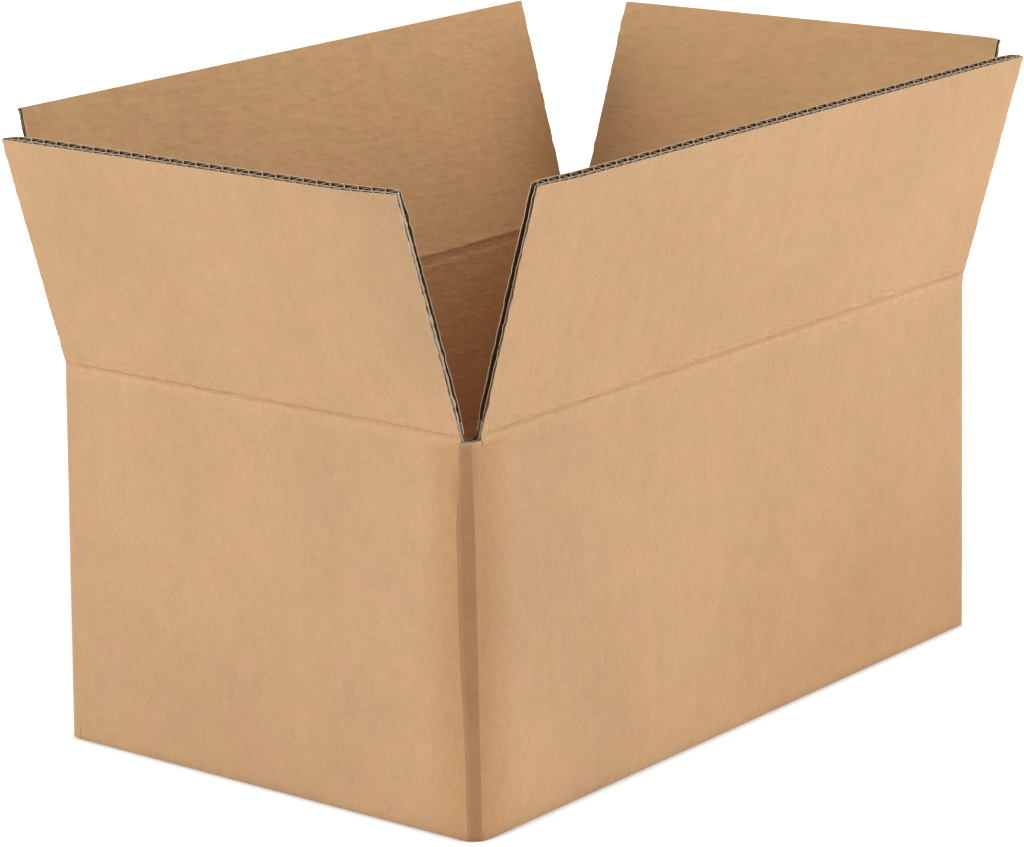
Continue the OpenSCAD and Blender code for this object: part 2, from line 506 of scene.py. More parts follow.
def make_kraft(name, colours, grain, clouds, waves, wrinkles, crease, crease_low, painted_flap_light):
    """Liner paper. The numbers set how far each pattern shows, the crease's painted shade and the flaps'
    painted light.
    """
    yellowish, pinkish, shaded = colours
    material, tree, shader, sheet = start_material(name, roughness=0.78, specular=0.22)
    split = add_node(tree, "ShaderNodeSeparateXYZ")
    tree.links.new(sheet, split.inputs["Vector"])
    height = split.outputs["Z"]
    noise = {pattern: scaled_noise(tree, sheet, *numbers) for pattern, numbers in PATTERNS.items()}
    brightness = paper_brightness(tree, noise, grain, clouds, wrinkles)
    # Painted light: above their fold the flaps are made lighter than the walls
    brightness = shade(tree, brightness, height, -FLAP_LIGHT_REACH, FLAP_LIGHT_REACH, 1.0, painted_flap_light)
    # Painted shade in the dark line along the top fold, beside the groove's own shading
    brightness = times(tree, brightness, painted_crease_shade(tree, noise, height, crease, crease_low))
    colour = mix_colours(tree, fade_in(tree, noise["hue"], HUE_RANGE), yellowish, pinkish)
    if name == "outer_kraft":
        # Painted highlight under the fold, where the crease's low bulge catches the light
        rising = fade_in(tree, height, UNDER_FOLD[0], smooth=True)
        under_fold_highlight = times(tree, rising, fade_out(tree, height, UNDER_FOLD[1]))
        brightness = shade(tree, brightness, under_fold_highlight, 0.0, 1.0, 1.0, UNDER_FOLD_HIGHLIGHT)
        # The left flap's near end is made darker
        brightness = shade(tree, brightness, darker_flap_end(tree, split), 0.0, 1.0, 1.0, FLAP_END_LIGHT)
        # Painted shade on the near corner's flat facet, on top of the shading its shape gets
        facet_shade = round_near_corner(tree, split, FACET)
        brightness = shade(tree, brightness, facet_shade, 0.0, 1.0, 1.0, FACET_SHADE)
        # Painted shade: the band beside the near corner is mixed towards the shaded colour
        corner_shade = round_near_corner(tree, split, CORNER_SHADE_SPAN, smooth=True)
        colour = mix_colours(tree, corner_shade, colour, shaded)
        # Painted shade: the low right part of the front wall is mixed towards the shaded colour
        low_shade = times(tree, low_wall_painted_shade(tree, split), LOW_SHADE_SHARE)
        colour = mix_colours(tree, low_shade, colour, shaded)
    else:
        # Painted shade: deep in the box the inner liner is mixed towards the shaded colour
        inside_painted_shade = fade_out(tree, height, INNER_SHADE_HEIGHT, smooth=True)
        colour = mix_colours(tree, inside_painted_shade, colour, shaded)
    tint(tree, shader, colour, brightness)
    add_bump(tree, shader, liner_relief(tree, split, noise, waves, wrinkles), KRAFT_RELIEF)
    return material


outer_kraft = make_kraft(
    "outer_kraft", ((0.636, 0.405, 0.214), (0.650, 0.396, 0.218), (0.590, 0.330, 0.160)),
    grain=0.062, clouds=0.042, waves=0.05, wrinkles=0.1,
    crease=0.95, crease_low=-0.0008, painted_flap_light=1.075,
)
inner_kraft = make_kraft(
    "inner_kraft", ((0.634, 0.394, 0.190), (0.644, 0.384, 0.194), (0.560, 0.312, 0.142)),
    grain=0.026, clouds=0.026, waves=0.08, wrinkles=4.0,
    crease=0.76, crease_low=-0.0014, painted_flap_light=1.0,
)
print("materials:", outer_kraft.name, inner_kraft.name)

# %% [markdown]
# The waved paper inside the board is dark, partly its own colour and partly painted shade, and the liner
# faces in the flute hollows take it too. Where a knife cut the paper its bare fibres are paler than its
# face, which is why the edges of a carton look like thin cream lines with dark gaps.


# %% Flute paper and cut edges
# Cells per metre, then the noise's detail and roughness
BARE_FIBRES = ((1100, 1400, 900), 2.0, 0.6)
TORN_FIBRES = ((1100, 1400, 700), 2.0, 0.6)


def make_plain_paper(name, colour, spread, distance):
    material, tree, shader, sheet = start_material(name, roughness=0.9, specular=0.12)
    fine = scaled_noise(tree, sheet, *BARE_FIBRES)
    tint(tree, shader, colour, remap(tree, fine, *MOST, 1 - spread, 1 + spread))
    add_bump(tree, shader, fine, distance)
    return material


# The flute paper's dark colour is partly its own and partly painted shade
flute_paper = make_plain_paper("flute_paper", (0.23, 0.118, 0.056), spread=0.14, distance=0.0001)
cut_paper = make_plain_paper("cut_paper", (0.70, 0.555, 0.40), spread=0.16, distance=0.00012)

# How dark the painted shade in a flute gap is, and over what depth the light falls off into it
GAP_SHADE = 0.25
GAP_FADE = 0.0005
# How far the torn layers stray in depth, and how dark and pale their fibres are
STRAY = 0.0003
TORN_LIGHT = (0.8, 1.1)


def make_torn_edge(name, colour):
    """The side of the crushed board: pale liners with painted shade in the gaps between them, by depth in
    the board.
    """
    material, tree, shader, sheet = start_material(name, roughness=0.9, specular=0.12)
    split = add_node(tree, "ShaderNodeSeparateXYZ")
    tree.links.new(sheet, split.inputs["Vector"])
    fine = scaled_noise(tree, sheet, *TORN_FIBRES)
    depth = combine(tree, "ADD", split.outputs["Y"], remap(tree, fine, *MOST, -STRAY, STRAY))
    light = remap(tree, fine, *MOST, *TORN_LIGHT)
    for near, far in ((LINER, LINER + FINE), (2 * LINER + FINE, BOARD - LINER)):
        opens = remap(tree, depth, near, near + GAP_FADE, 1.0, GAP_SHADE)
        closes = remap(tree, depth, far - GAP_FADE, far, GAP_SHADE, 1.0)
        light = times(tree, light, combine(tree, "MAXIMUM", opens, closes))
    tint(tree, shader, colour, light)
    return material


torn_edge = make_torn_edge("torn_edge", (0.74, 0.54, 0.36))
print("materials:", flute_paper.name, cut_paper.name, torn_edge.name)

# %% [markdown]
# ## One sheet of the board
#
# A liner starts as a flat grid that is stood up, and a Solidify modifier gives it the paper's thickness.
# The slot-cut ends are a little ragged, because the knife crushes the board before it cuts.


# %% Liners
END_COLUMNS = (0.0012, 0.0026, 0.0042, 0.0062)
LINER_CELL_WIDE = 0.006
LINER_CELL_HIGH = 0.003


def add_end_columns(width):
    """Cuts the open mesh near both slot-cut ends, so that they can be squeezed in a smooth curve."""
    for place in END_COLUMNS:
        for end in (-1, 1):
            cut_across((end * (width / 2 - place), 0, 0), (1, 0, 0))


def make_liner(name, width, low, high, depth, seed, ragged):
    """A flat sheet across the X axis whose outer face lies at y = depth."""
    columns = max(8, round(width / LINER_CELL_WIDE))
    rows = max(6, round((high - low) / LINER_CELL_HIGH))
    sheet = add_sheet(name, columns, rows, (width, high - low), (0, depth, (low + high) / 2))
    open_mesh(sheet)
    add_end_columns(width)
    pick_vertices(sheet, lambda co: abs(co.x) > width / 2 - CLOSE)
    crumple(ragged, seed)
    close_mesh()
    thicken(sheet, LINER)
    return sheet


# %% [markdown]
# A row of flutes is one wave, made once and repeated with an Array modifier, and then trimmed to its flap.
# The wave is a sine with its crests flattened, since the crests are glued flat to the liners.


# %% Rows of flutes
WAVE_STEPS = 14
WAVE_ROWS = 6
CREST_FLATNESS = 0.13


def wave_height(turn):
    """Height of the wave from -1 to 1 at a part of its length."""
    angle = 2 * math.pi * turn
    return (math.sin(angle) + CREST_FLATNESS * math.sin(3 * angle)) / (1 - CREST_FLATNESS)


def make_flutes(name, width, low, high, middle, height, pitch):
    """A waved sheet that fills the gap of this height, centred at y = middle."""
    centre = (0, middle, (low + high) / 2)
    wave = add_sheet(name, WAVE_STEPS, WAVE_ROWS, (pitch, high - low), centre)
    open_mesh(wave)
    for step in range(WAVE_STEPS + 1):
        column = pitch * (step / WAVE_STEPS - 0.5)
        rise = wave_height(step / WAVE_STEPS) * (height - PAPER) / 2
        pick_vertices(wave, lambda co: abs(co.x - column) < pitch / WAVE_STEPS / 4)
        bpy.ops.transform.translate(value=(0, rise, 0))
    close_mesh()
    count = math.ceil(width / pitch) + 1
    row = wave.modifiers.new("row", "ARRAY")
    row.count = count
    row.use_relative_offset = False
    row.use_constant_offset = True
    row.constant_offset_displace = (pitch, 0, 0)
    row.use_merge_vertices = True
    row.merge_threshold = 0.00001
    apply_all_modifiers(wave)
    wave.location = (-(count * pitch - pitch) / 2, 0, 0)
    apply_place(wave)
    open_mesh(wave)
    for side in (-1, 1):
        cut_across((side * width / 2, 0, 0), (side, 0, 0), clear_outer=True)
    close_mesh()
    thicken(wave, PAPER, offset=0)
    return wave


# %% [markdown]
# ## The board of one flap
#
# Three liners and two rows of flutes are joined into one piece, and a rag of torn paper covers the fine
# flutes at each slot-cut end. There the whole stack is pinched, as the knives leave it: the board thins
# towards its end over the last two flutes, and most of all down at the fold, where the slot stops.


# %% The papers of a board
# Each name is the number of its material on every board
OUTER, INNER, CUT, FLUTE = range(4)
PAPERS = (outer_kraft, inner_kraft, cut_paper, flute_paper)
CUT_BAND = 0.002


def add_materials(piece, materials):
    for material in materials:
        piece.data.materials.append(material)


def give_papers(piece, front, back, edge=FLUTE):
    """One paper each for the faces that look outward, inward and neither way."""
    add_materials(piece, PAPERS)
    for face in piece.data.polygons:
        if face.normal.y == 0:
            face.material_index = edge
        else:
            face.material_index = front if face.normal.y < 0 else back


def paint_cut_faces(piece, width):
    for face in piece.data.polygons:
        at_end = abs(face.normal.x) > 0.9 and abs(face.center.x) > width / 2 - CUT_BAND
        if face.normal.z > 0.9 or at_end:
            face.material_index = CUT


# %% Build a flap's board
# The flap's own board starts this far above its fold
ROOT = BOARD
# The waved sheets end a little inside the liners
FLUTE_LOW = 0.0002
FLUTE_INSET = 0.002
COARSE_INSET = 0.003
RAG_CELL = 0.0016
RAG_PAPER = 0.0001
RAG_CRUMPLE = 0.00055
RAG_INSET = 0.0004


def make_torn_strip(name, end, high, paper, deep):
    """The knife folds torn liner over the fine flutes at a slot-cut end. This is that rag of paper."""
    centre = (end * (1 - RAG_INSET / abs(end)), LINER + deep / 2, (ROOT + high) / 2)
    strip = add_sheet(name, 3, round(high / RAG_CELL), (deep, high - ROOT), centre, turn=math.pi / 2)
    open_mesh(strip)
    bpy.ops.mesh.select_all(action="SELECT")
    crumple(RAG_CRUMPLE, seed=11)
    close_mesh()
    thicken(strip, RAG_PAPER)
    give_papers(strip, paper, paper, paper)
    return strip


def make_board(name, width, high, along, ragged, torn_paper=FLUTE, torn_deep=FINE + LINER):
    """Board across the X axis, outer face at y = 0, flutes upright and open at its top edge."""
    liners = []
    # The faces that look into the flute hollows take the dark flute paper, as painted shade
    papers = ((OUTER, FLUTE), (FLUTE, FLUTE), (FLUTE, INNER))
    depths = (0.0, LINER + FINE, 2 * LINER + FINE + COARSE)
    for n, (depth, (front, back)) in enumerate(zip(depths, papers)):
        liners.append(make_liner(name, width, ROOT, high, depth, 3 + n, ragged))
        give_papers(liners[n], front, back)
    flute_top = high - FLUTE_LOW
    fine_middle = LINER + FINE / 2
    coarse_middle = 2 * LINER + FINE + COARSE / 2
    fine = make_flutes(name, width - FLUTE_INSET, ROOT, flute_top, fine_middle, FINE, FINE_PITCH)
    coarse = make_flutes(name, width - COARSE_INSET, ROOT, flute_top, coarse_middle, COARSE, COARSE_PITCH)
    for row in (fine, coarse):
        give_papers(row, FLUTE, FLUTE)
    board = join_pieces(name, liners + [fine, coarse])
    paint_cut_faces(board, width)
    torn = [make_torn_strip(name, side * width / 2, high, torn_paper, torn_deep) for side in (-1, 1)]
    board = join_pieces(name, [board] + torn)
    sheet_from_local(board, along)
    return board


# %% [markdown]
# Two functions then move the finished stack. One squeezes its ends, and one sets each end to its place,
# since the slots aren't cut square.

# %% Squeeze and fit a board
PINCH_MIDDLE = 0.1 * BOARD
PINCH_AT_FOLD = 0.72
PINCH_FADE = 0.014
# The share of the squeeze and the distance from the end over which it comes
SOFT_PINCH = (0.35, 0.020)
HARD_PINCH = (0.65, 0.007)
LIFT_REACH = 0.030


def ease(part):
    """A smooth step from 0 to 1."""
    part = max(0.0, min(1.0, part))
    return part * part * (3 - 2 * part)


def pinch_ends(piece, flap):
    """Squeezes the board at its slot-cut ends: gently over two flutes, then hard over the last one."""
    for vertex in piece.data.vertices:
        x, y, z = vertex.co
        to_end = flap["width"] / 2 - abs(x)
        left_over = flap["pinch"][0 if x < 0 else 1]
        if z > 0:
            left_over *= PINCH_AT_FOLD + (1 - PINCH_AT_FOLD) * ease(z / PINCH_FADE)
        else:
            left_over = 1 - (1 - PINCH_AT_FOLD * left_over) * ease(1 + z / SLOT_FLOOR)
        near_end = sum(share * ease(1 - to_end / reach) for share, reach in (SOFT_PINCH, HARD_PINCH))
        vertex.co.y = PINCH_MIDDLE + (y - PINCH_MIDDLE) * (1 - (1 - left_over) * near_end)


def fit_to_slots(piece, flap):
    """The slots aren't cut quite square, nor is the free edge. Moves each end to its place."""
    for vertex in piece.data.vertices:
        up = max(0.0, min(1.0, vertex.co.z / FLAP))
        down = max(0.0, min(1.0, -vertex.co.z / SLOT_FLOOR))
        ends = []
        for wall, fold, top in zip(flap["wall_ends"], flap["fold_ends"], flap["top_ends"]):
            ends.append(fold + (top - fold) * up + (wall - fold) * down)
        across = vertex.co.x / flap["width"] + 0.5
        vertex.co.x = ends[0] + (ends[1] - ends[0]) * across
        drop = flap["drops"][0] + (flap["drops"][1] - flap["drops"][0]) * across
        from_end = flap["width"] * (0.5 - abs(across - 0.5))
        lift = flap["lifts"][0 if across < 0.5 else 1] * ease(1 - from_end / LIFT_REACH)
        vertex.co.z -= up * (drop - lift)


# %% Make the four top flaps
RAGGED_SLOT = 0.0005
# The left flap's ends show paler and deeper rags than the others. The other rags take the dark flute paper,
# as painted shade.
LEFT_RAGS = (CUT, 0.6 * BOARD)
for side, flap in FLAPS.items():
    rags = LEFT_RAGS if side == "left" else ()
    board = make_board(side + "_flap_board", flap["width"], FLAP, flap["along"], RAGGED_SLOT, *rags)
    pinch_ends(board, flap)
    fit_to_slots(board, flap)
    stand_on_wall(board, flap, flap["lean"])
    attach(board, side)
    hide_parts(side + "_flap")
    print(board.name, len(board.data.polygons), "faces")

# %% [markdown]
# ## The folds
#
# A scoring wheel crushes the board along each fold. Outside that leaves a thin dark crease with a low
# bulge beneath it, and inside a shallow groove. The strip between wall and flap is its own piece: its lower
# part lies with the wall and its upper part leans with the flap.


# %% Build a fold
# Heights of the strip's rows, and how far its outer and inner faces are moved inward at some of them
FOLD_ROWS = (
    -0.0115, -0.0092, -0.0068, -0.0052, -0.0038, -0.0026, -0.0016, -0.0008,
    -0.0003, 0.0, 0.0004, 0.0010, 0.0018, 0.0030, 0.0046,
)
OUTER_SHAPE = {
    -0.0052: -0.0001, -0.0038: -0.0003, -0.0026: -0.0004, -0.0016: -0.0003, -0.0008: 0.0,
    -0.0003: 0.0004, 0.0: 0.0006, 0.0004: 0.0004, 0.0010: 0.0001,
}
INNER_SHAPE = {
    -0.0026: -0.0002, -0.0016: -0.0006, -0.0008: -0.0009, -0.0003: -0.0010,
    0.0: -0.0010, 0.0004: -0.0006, 0.0010: 0.0, 0.0018: 0.0004, 0.0030: 0.0002,
}
FOLD_CELL = 0.004
FOLD_CRUMPLE = 0.00025
CRUMPLED_PART = 0.0047
# The crumple leaves this much at the slot-cut ends alone
UNCRUMPLED_END = 0.001


def make_fold(side, flap):
    width = flap["width"]
    fold = add_block(side + "_fold", (-width / 2, 0, -flap["foot"]), (width / 2, BOARD, ROOT))
    open_mesh(fold)
    for height in FOLD_ROWS:
        if height > -flap["foot"] + CLOSE:
            cut_across((0, 0, height), (0, 0, 1))
    pick_edges(fold, lambda a, b: abs(a.x - b.x) > width / 2)
    bpy.ops.mesh.subdivide(number_cuts=round(width / FOLD_CELL))
    add_end_columns(width)
    for shape, depth in ((OUTER_SHAPE, 0.0), (INNER_SHAPE, BOARD)):
        for height, shift in shape.items():
            pick_vertices(fold, lambda co: abs(co.z - height) < CLOSE / 2 and abs(co.y - depth) < CLOSE)
            bpy.ops.transform.translate(value=(0, shift, 0))
    crumpled_end = width / 2 - UNCRUMPLED_END
    pick_vertices(fold, lambda co: abs(co.z) < CRUMPLED_PART and abs(co.x) < crumpled_end)
    crumple(FOLD_CRUMPLE, seed=7)
    close_mesh()
    sheet_from_local(fold, flap["along"])
    return fold


def lean_upper_half(fold, lean):
    """Turns what is above the fold outward, about the fold line on the outer face."""
    turn = Matrix.Rotation(math.radians(lean), 4, "X")
    for vertex in fold.data.vertices:
        if vertex.co.z > 0:
            vertex.co = turn @ vertex.co


# %% Make the four folds
# For a long fold a point this far above the fold line is worked out below, and for a short one a point on
# the line, but neither is used
LONG_BEND_TOP = 0.9 * BOARD
folds = {}
for side, flap in FLAPS.items():
    fold = make_fold(side, flap)
    pinch_ends(fold, flap)
    fit_to_slots(fold, flap)
    lean_upper_half(fold, flap["lean"])
    add_materials(fold, (outer_kraft, inner_kraft, torn_edge))
    for face in fold.data.polygons:
        if abs(face.normal.x) > 0.7 and face.center.z > -SLOT_FLOOR:
            face.material_index = 2
        elif face.center.y > BOARD / 2:
            face.material_index = 1
    stand_on_wall(fold, flap, 0)
    outward = Matrix.Rotation(math.radians(flap["turn"]), 3, "Z") @ Vector((0, -flap["to_wall"], 0))
    top = FOLD_Z + LONG_BEND_TOP if flap["foot"] == BOARD else FOLD_Z
    end = outward + Vector((0, 0, top))
    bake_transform(fold)
    folds[side] = fold
    print(fold.name, len(fold.data.polygons), "faces")

# %% [markdown]
# ## The walls
#
# The four walls are one strip of board, bent at four upright folds. It is extruded panel by panel from the
# back wall's cut end, round the box and just inside that end again, where the tab is glued. The strip
# starts with sharp corners, and its points beside each corner are placed so that they can be moved later.

# %% The strip's outline seen from above
TUCK = HALF_W - BOARD
JOINT_SET_BACK = 0.001
TAB_FOLD = 0.003
TAB_FOLD_CUT = 0.0009
# Distances round a sharp corner: negative on the short wall, positive on the long one
CORNER_RUN = (-0.0125, -0.0070, -0.0044, 0.0, 0.0052, 0.0110, 0.0170)


def corner_points(corner, towards_x, towards_y):
    """Points from the short wall round the sharp corner to the long wall."""
    x, y = corner
    return [(x + towards_x * max(0, run), y - towards_y * min(0, run)) for run in CORNER_RUN]


outline = [(HALF_L - JOINT_SET_BACK, HALF_W)]
outline += list(reversed(corner_points((-HALF_L, HALF_W), 1, -1)))
outline += corner_points((-HALF_L, -HALF_W), 1, 1)
outline += list(reversed(corner_points((HALF_L, -HALF_W), -1, 1)))
outline += [
    (HALF_L, TUCK - TAB_FOLD), (HALF_L - TAB_FOLD_CUT, TUCK - TAB_FOLD_CUT), (HALF_L - TAB_FOLD, TUCK),
]
print(len(outline), "points in the outline")


# %% Extrude the strip along its outline
def make_strip(points, low, high):
    """An upright sheet without thickness that follows the points."""
    bpy.ops.mesh.primitive_plane_add(size=1)
    strip = bpy.context.view_layer.objects.active
    open_mesh(strip)
    pick_vertices(strip, lambda co: co.x > 0)
    bpy.ops.mesh.delete(type="VERT")
    bpy.ops.mesh.select_all(action="SELECT")
    bpy.ops.transform.resize(value=(1, high - low, 1))
    bpy.ops.transform.rotate(value=-math.pi / 2, orient_axis="X", center_override=(0, 0, 0))
    bpy.ops.transform.translate(value=(points[0][0] + 0.5, points[0][1], (high + low) / 2))
    for before, after in zip(points, points[1:]):
        move = (after[0] - before[0], after[1] - before[1], 0)
        bpy.ops.mesh.extrude_edges_move(TRANSFORM_OT_translate={"value": move})
    close_mesh()
    return strip


walls = make_strip(outline, 0, SLOT_Z)
walls.name = "walls"
print("strip heights", sorted({round(v.co.z, 4) for v in walls.data.vertices}))

# %% [markdown]
# The strip gets rows and columns next, and then the notches that the folds of the top flaps fill. Between
# the notches the board is left standing, up to the floor of the slots.

# %% Add rows and columns, and cut the notches
ROW_CUTS = 29
COLUMN_CUTS = 15
open_mesh(walls, "EDGE")
pick_edges(walls, lambda a, b: abs(a.z - b.z) > SLOT_Z / 2)
bpy.ops.mesh.subdivide(number_cuts=ROW_CUTS)
pick_edges(walls, lambda a, b: (a - b).length > WIDTH / 2 and abs(a.z - b.z) < CLOSE)
bpy.ops.mesh.subdivide(number_cuts=COLUMN_CUTS)
for side, flap in FLAPS.items():
    turn = Matrix.Rotation(math.radians(flap["turn"]), 3, "Z")
    for end in flap["wall_ends"]:
        cut_across(turn @ Vector((end, 0, 0)), turn @ Vector((1, 0, 0)))
    cut_across((0, 0, FOLD_Z - flap["foot"]), (0, 0, 1))


def above_a_fold(middle):
    """True for a face whose place a top flap's fold takes."""
    for flap in FLAPS.values():
        turned = Matrix.Rotation(math.radians(-flap["turn"]), 3, "Z") @ middle
        low, high = flap["wall_ends"]
        on_wall = turned.y < -flap["to_wall"] + CLOSE and low < turned.x < high
        if on_wall and middle.z > FOLD_Z - flap["foot"]:
            return True
    return False


bpy.ops.mesh.select_mode(type="FACE")
pick_faces(walls, above_a_fold)
bpy.ops.mesh.delete(type="FACE")
close_mesh()
print("walls", len(walls.data.polygons), "faces after the notches")

# %% [markdown]
# An upright fold in heavy board is not a clean radius. The near one in the photograph is crushed to a flat
# facet that looks towards the corner, with a longer, flatter run beside it, and both grow tighter at the
# floor and beside the slot. The other two that show are nearly sharp. The box also stands wider at its foot
# than at its mouth: nearly four millimetres on the left, two at the near corner and one at the back.

# %% Shapes of the upright folds
# How far in from each of the two walls a point goes, in millimetres, for each point of the corner's run
CORNER_SHAPES = {
    "near foot": ((0, 12.5), (0.1, 6.0), (1.1, 4.6), (4.2, 0.9), (6.4, 0.4), (11, 0), (17, 0)),
    "near middle": ((0, 12.5), (0.1, 7.9), (1.3, 6.3), (4.9, 1.5), (7.4, 1.1), (11, 0.6), (17, 0)),
    "near top": ((0, 12.5), (0, 6.0), (0.7, 4.7), (3.3, 1.0), (5.2, 0.2), (11, 0), (17, 0)),
    "left foot": ((0, 12.5), (0, 7), (0, 4.4), (1.3, 1.3), (4.4, 0), (11, 0), (17, 0)),
    "left top": ((0, 12.5), (0, 7), (0, 5.2), (2.3, 2.3), (5.4, 0), (11, 0), (17, 0)),
    "sharp": ((0, 12.5), (0, 7), (0, 4), (0.7, 0.7), (4, 0), (11, 0), (17, 0)),
}
# Heights over which the near fold's foot gives way to its middle, and its middle to its top
NEAR_FOOT_TOP, NEAR_FOOT_FADE = 0.030, 0.070
NEAR_SLOT_LOW, NEAR_SLOT_FADE = 0.135, 0.036
# Three corners are folds. The fourth, at the back right, is the glued joint.
FOLDED_CORNERS = ((-1, -1), (-1, 1), (1, -1))


def corner_place(shape, run):
    """Where a point goes, from the sharp corner inward. run is its distance round the sharp corner."""
    for index in range(len(CORNER_RUN) - 1):
        if run <= CORNER_RUN[index + 1]:
            break
    part = (run - CORNER_RUN[index]) / (CORNER_RUN[index + 1] - CORNER_RUN[index])
    points = [Vector(point) / 1000 for point in CORNER_SHAPES[shape]]
    return points[index].lerp(points[index + 1], part)


def corner_shape(side_x, side_y, run, height):
    """The corner's shape changes with the height: each corner in its own way."""
    if side_x > 0:
        return corner_place("sharp", run)
    if side_y > 0:
        return corner_place("left foot", run).lerp(corner_place("left top", run), height / SLOT_Z)
    foot = corner_place("near foot", run)
    middle = corner_place("near middle", run)
    place = foot.lerp(middle, ease((height - NEAR_FOOT_TOP) / NEAR_FOOT_FADE))
    return place.lerp(corner_place("near top", run), ease((height - NEAR_SLOT_LOW) / NEAR_SLOT_FADE))


# %% The wider foot
SPLAY_LEFT = 0.0036
SPLAY_BACK = 0.0013
SPLAY_RIGHT = 0.0006
# The front wall's splay goes from its near end to its far one
SPLAY_NEAR = 0.0022
SPLAY_FAR = 0.0001
# What lies this close to a wall's face moves with that wall
WALL_BAND = 0.02


def splayed(co):
    """Moves a wall's point outward, further the lower it lies below the fold."""
    x, y, z = co
    share = 1 - min(1.0, z / FOLD_Z)
    if co[0] < -HALF_L + WALL_BAND:
        x -= SPLAY_LEFT * share
    if co[0] > HALF_L - WALL_BAND:
        x += SPLAY_RIGHT * share
    if co[1] > HALF_W - WALL_BAND:
        y += SPLAY_BACK * share
    if co[1] < -HALF_W + WALL_BAND:
        across = min(1.0, co[0] / LENGTH + 0.5)
        y -= (SPLAY_NEAR + (SPLAY_FAR - SPLAY_NEAR) * across) * share
    return x, y, z


# %% Place the points of the walls and folds
LONG_RUN = CORNER_RUN[-1]
SHORT_RUN = -CORNER_RUN[0]


def shaped_place(co):
    """Where a point of the sharp-cornered strip ends up."""
    x, y, z = co
    for side_x, side_y in FOLDED_CORNERS:
        inset_x, inset_y = HALF_L - side_x * x, HALF_W - side_y * y
        on_long = inset_x < LONG_RUN + CLOSE and inset_y < CLOSE
        on_short = inset_x < CLOSE and inset_y < SHORT_RUN + CLOSE
        if on_long or on_short:
            run = inset_x if on_long else -inset_y
            place = corner_shape(side_x, side_y, run, z)
            x, y = side_x * (HALF_L - place[0]), side_y * (HALF_W - place[1])
            break
    return splayed((x, y, z))


def along_blank(co):
    """How far along the blank an outside point lies, from the middle of the front wall."""
    if co.y < -HALF_W + CLOSE:
        return co.x
    if co.x > HALF_L - TAB_FOLD - CLOSE and co.y <= TUCK:
        return HALF_L + co.y + HALF_W
    if co.x < -HALF_L + CLOSE:
        return -HALF_L - co.y - HALF_W
    return -2 * HALF_L - WIDTH - co.x


def fold_place(co, on_long_wall):
    """Where a point of a top fold ends up: beside the slots its lower part goes in with the corner."""
    x, y, z = co
    share = ease((FOLD_Z - z) / SLOT_FLOOR)
    for side_x, side_y in FOLDED_CORNERS:
        inset_x, inset_y = HALF_L - side_x * x, HALF_W - side_y * y
        if on_long_wall and inset_x < LONG_RUN and inset_y < HALF_W:
            place = corner_shape(side_x, side_y, inset_x, z)
            x -= side_x * share * (place[0] - inset_x)
            y -= side_y * share * place[1]
            break
        if not on_long_wall and inset_y < SHORT_RUN and inset_x < HALF_L:
            place = corner_shape(side_x, side_y, -inset_y, z)
            x -= side_x * share * place[0]
            y -= side_y * share * (place[1] - inset_y)
            break
    return splayed((x, y, z))


write_sheet_places(walls, [(along_blank(v.co), 0.0, v.co.z - FOLD_Z) for v in walls.data.vertices])
for vertex in walls.data.vertices:
    vertex.co = shaped_place(vertex.co)
for side, fold in folds.items():
    for vertex in fold.data.vertices:
        vertex.co = fold_place(vertex.co, FLAPS[side]["to_wall"] == HALF_W)

# %% [markdown]
# The strip is thickened inward, so that its outer face keeps its place. Each inner point takes over the
# place on the sheet of the outer point that it came from, one board deeper.

# %% Give the walls their thickness and round their foot
FOOT_BEVEL = 0.0005
FOOT_BAND = 0.0062
SMOOTH_BELOW = math.radians(32)
open_mesh(walls, "FACE")
bpy.ops.mesh.select_all(action="SELECT")
bpy.ops.mesh.normals_make_consistent(inside=False)
close_mesh()
add_materials(walls, (outer_kraft, inner_kraft, torn_edge))
solid = walls.modifiers.new("thickness", "SOLIDIFY")
solid.thickness = BOARD
solid.offset = -1
solid.use_even_offset = True
solid.material_offset = 1
solid.material_offset_rim = 2
apply_all_modifiers(walls)
places = walls.data.attributes["sheet"]
half = len(walls.data.vertices) // 2
for index, vertex in enumerate(walls.data.vertices):
    along, _, height = places.data[index].vector
    vertex.co.z = height + FOLD_Z
    places.data[index].vector = (along, 0.0 if index < half else BOARD, height)


def outside(co):
    """True on the outer face of a wall."""
    return abs(co.x) > HALF_L - FOOT_BAND or abs(co.y) > HALF_W - FOOT_BAND


def along_foot(a, b):
    """True for an edge on the floor that the bevel has room for."""
    on_floor = max(a.z, b.z) < CLOSE
    return on_floor and outside(a) and outside(b) and (a - b).length > FOOT_BEVEL


open_mesh(walls, "EDGE")
pick_edges(walls, along_foot)
bpy.ops.mesh.bevel(offset=FOOT_BEVEL, offset_type="OFFSET", segments=3, profile=0.5, affect="EDGES")
close_mesh()
make_active(walls)
bpy.ops.object.shade_smooth_by_angle(angle=SMOOTH_BELOW)
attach(walls, "carton")
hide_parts("carton_body")
print("walls", len(walls.data.polygons), "faces")

# %% [markdown]
# ## The base and the glued tab
#
# The base flaps are the same board as the top ones, folded inward: the short ones first and the long ones
# under them, with a narrow slit between the two long ones.

# %% Build the base flaps
BASE_REACH = 0.120
BASE_RAGGED = 0.0002
BASE_INSET = BOARD + 0.0005
LONG_BASE_Z = 0.0002
SHORT_BASE_Z = BOARD + 0.0006
for side, flap in FLAPS.items():
    if flap["to_wall"] == HALF_W:
        width, height = LENGTH - 2 * BASE_INSET, LONG_BASE_Z
    else:
        width, height = WIDTH - 2 * BASE_INSET, SHORT_BASE_Z
    board = make_board(side + "_base_flap", width, BASE_REACH, flap["along"], BASE_RAGGED)
    stand_on_wall(board, flap, 90, height, flip=180)
    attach(board, "carton")
    print(board.name, len(board.data.polygons), "faces")

